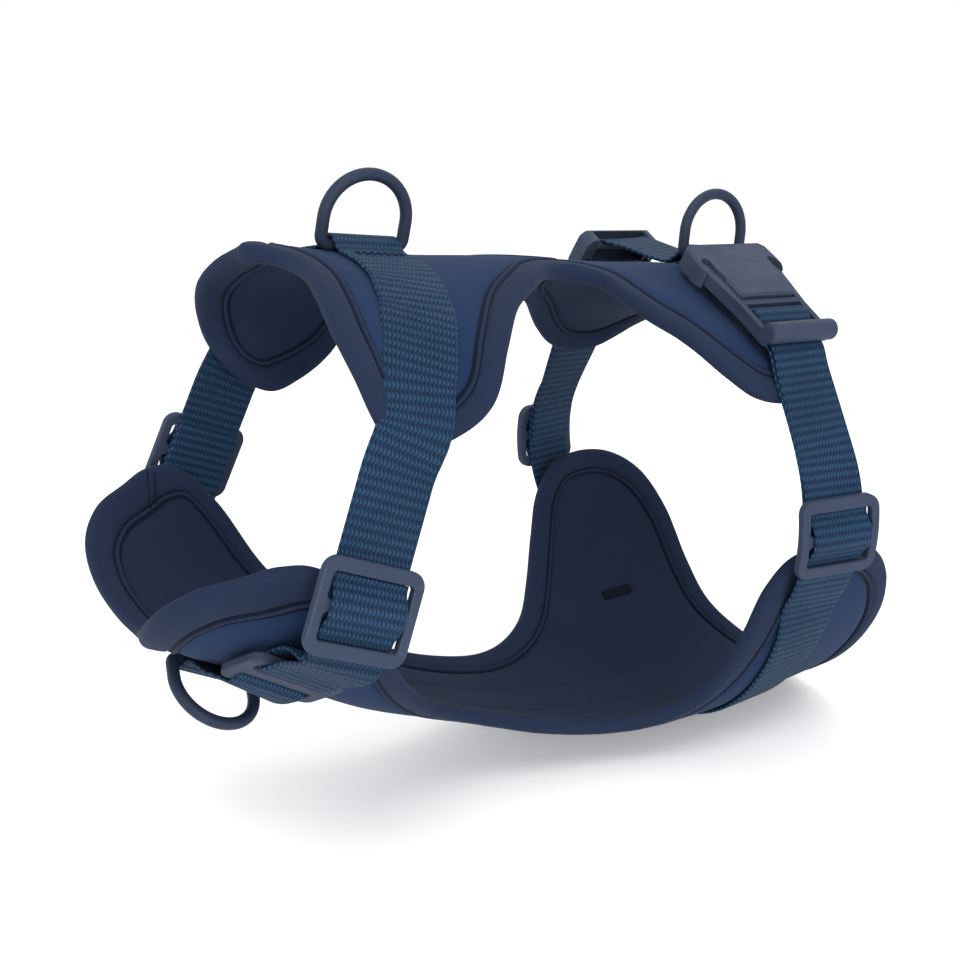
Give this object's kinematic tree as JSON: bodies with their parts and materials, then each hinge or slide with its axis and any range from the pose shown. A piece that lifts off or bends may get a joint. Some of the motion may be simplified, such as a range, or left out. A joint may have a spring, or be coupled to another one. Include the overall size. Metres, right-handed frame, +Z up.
{
  "type": "no pull dog harness",
  "caption": "Padded no pull dog harness with a saddle-shaped back panel, a belly and chest panel, webbing straps with sliders, side buckles and D-rings.",
  "frame": {"origin": "middle of the hollow that the dog's chest fills, on the mirror plane, midway between the top and bottom padding over the ribs", "axes": "+X towards the dog's tail, +Y towards its right side, +Z up as worn"},
  "size_m": [0.2965, 0.1886, 0.2272],
  "materials": {
    "cover": "smooth knitted face of padded cloth, navy",
    "lining": "soft knitted lining, dark navy",
    "foam": "closed-cell foam padding",
    "binding": "rolled cloth binding, navy",
    "webbing": "ribbed woven webbing, navy",
    "moulding": "matt moulded plastic, blue grey",
    "ring": "powder-coated steel, blue grey",
    "label": "flat heat-set patch, very dark navy"
  },
  "bodies": {
    "harness": {"back_binding": "binding", "back_cover": "cover", "back_foam": "foam", "back_lining": "lining", "back_piping": "binding", "buckle_socket_left": "moulding", "buckle_socket_right": "moulding", "chest_binding": "binding", "chest_cover": "cover", "chest_foam": "foam", "chest_lining": "lining", "chest_loop_left": "moulding", "chest_loop_right": "moulding", "chest_piping": "binding", "chest_webbing": "webbing", "front_ring_fold": "webbing", "girth_top_webbing": "webbing", "girth_webbing_left": "webbing", "girth_webbing_right": "webbing", "neck_webbing_left": "webbing", "neck_webbing_right": "webbing", "rear_base_webbing": "webbing", "size_label": "label"},
    "buckle_plug_left": {"buckle_plug_left": "moulding"},
    "buckle_plug_right": {"buckle_plug_right": "moulding"},
    "chest_d_ring": {"chest_d_ring": "ring"},
    "front_d_ring": {"front_d_ring": "ring"},
    "girth_slider_left": {"girth_slider_left": "moulding", "girth_slider_webbing_left": "webbing"},
    "girth_slider_right": {"girth_slider_right": "moulding", "girth_slider_webbing_right": "webbing"},
    "neck_slider_left": {"neck_slider_left": "moulding", "neck_slider_webbing_left": "webbing"},
    "neck_slider_right": {"neck_slider_right": "moulding", "neck_slider_webbing_right": "webbing"},
    "rear_d_ring": {"rear_d_ring": "ring"}
  },
  "joints": [
    {"name": "front_ring_swing", "type": "hinge", "parent": "harness", "child": "front_d_ring", "pos_m": [-0.04652, 0, 0.08804], "axis": [0.9949, 0, -0.1007], "range_deg": [-85, 62]},
    {"name": "rear_ring_swing", "type": "hinge", "parent": "harness", "child": "rear_d_ring", "pos_m": [0.10961, 0, 0.07574], "axis": [0.9962, 0, -0.0871], "range_deg": [-75, 58]},
    {"name": "chest_ring_swing", "type": "hinge", "parent": "harness", "child": "chest_d_ring", "pos_m": [-0.10724, 0, -0.04706], "axis": [0.8822, 0, -0.4708], "range_deg": [-8, 120]},
    {"name": "neck_slider_left_slide", "type": "slide", "parent": "harness", "child": "neck_slider_left", "axis": [0.3881, 0.1109, 0.9149], "range_m": [0, 0.02]},
    {"name": "neck_slider_right_slide", "type": "slide", "parent": "harness", "child": "neck_slider_right", "axis": [0.3881, -0.1109, 0.9149], "range_m": [-0.008, 0.012]},
    {"name": "girth_slider_left_slide", "type": "hinge", "parent": "harness", "child": "girth_slider_left", "pos_m": [0.10323, -0.03555, -0.0141], "axis": [-0.9848, 0.1736, 0], "range_deg": [-5, 13]},
    {"name": "girth_slider_right_slide", "type": "hinge", "parent": "harness", "child": "girth_slider_right", "pos_m": [0.10323, 0.03555, -0.0141], "axis": [0.9848, 0.1736, 0], "range_deg": [-5, 13]},
    {"name": "buckle_left_release", "type": "slide", "parent": "harness", "child": "buckle_plug_left", "axis": [-0.0601, -0.8612, -0.5047], "range_m": [0, 0.02], "deforming": ["girth_webbing_left"]},
    {"name": "buckle_right_release", "type": "slide", "parent": "harness", "child": "buckle_plug_right", "axis": [-0.0545, 0.5108, -0.858], "range_m": [0, 0.02], "deforming": ["girth_webbing_right"]}
  ]
}
